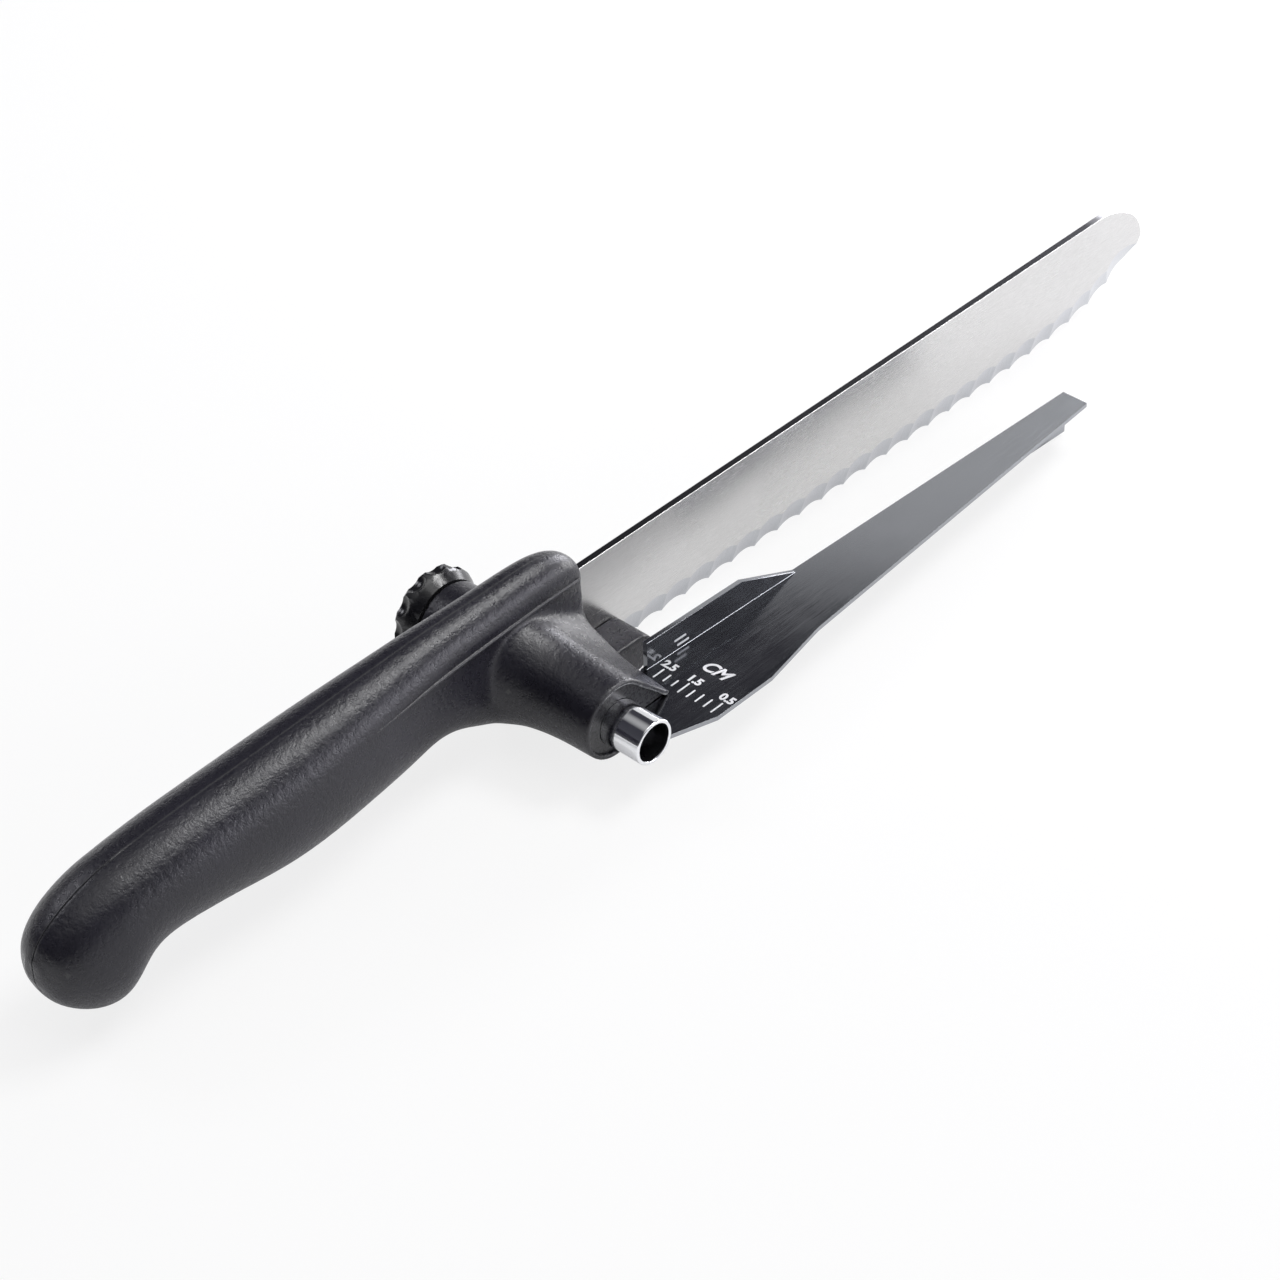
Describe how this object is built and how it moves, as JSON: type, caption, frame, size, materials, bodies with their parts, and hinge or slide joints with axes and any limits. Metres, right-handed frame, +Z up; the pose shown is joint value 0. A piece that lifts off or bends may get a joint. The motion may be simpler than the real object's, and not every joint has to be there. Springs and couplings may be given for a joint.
{
  "type": "bread knife with adjustable slice guide",
  "caption": "Serrated bread knife with a moulded handle, a steel slice guide beside the blade and a fluted knob that moves the guide in and out on a chrome tube",
  "frame": {"origin": "middle of the bounding box's bottom face, level with the blade's edge at the heel", "axes": "+X along the blade from the handle's butt towards the tip, +Y towards the adjusting knob, +Z up from the cutting edge to the spine"},
  "size_m": [0.3676, 0.0722, 0.04],
  "materials": {
    "blade_steel": "satin ground",
    "guide_steel": "satin",
    "plain_steel": "turned",
    "tube_chrome": "polished",
    "bearing_brass": "machined",
    "handle_plastic": "fine grain",
    "bush_plastic": "moulded",
    "knob_plastic": "satin gloss"
  },
  "bodies": {
    "handle": {"blade": "blade_steel", "tang_pins": "plain_steel", "handle_left": "handle_plastic", "handle_right": "handle_plastic", "guide_bush": "bush_plastic", "knob_bearing": "bearing_brass", "thrust_washer": "plain_steel", "spring_washer": "plain_steel"},
    "knob": {"knob": "knob_plastic", "spindle": "plain_steel", "end_clip": "plain_steel", "knob_screw": "plain_steel", "knob_cap": "knob_plastic"},
    "guide": {"guide_tube": "tube_chrome", "guide_nut": "bearing_brass", "guide_plate": "guide_steel"}
  },
  "joints": [
    {"name": "knob_turn", "type": "hinge", "parent": "handle", "child": "knob", "pos_m": [-0.0465, 0.0305, 0.0144], "axis": [0, 1, 0], "range_deg": [-1621, 1261]},
    {"name": "guide_slide", "type": "slide", "parent": "handle", "child": "guide", "axis": [0, -1, 0], "range_m": [-0.01125, 0.00875]}
  ],
  "couplings": [
    {"joint": "knob_turn", "follows": "guide_slide", "rad_per_m": 2513.3}
  ]
}
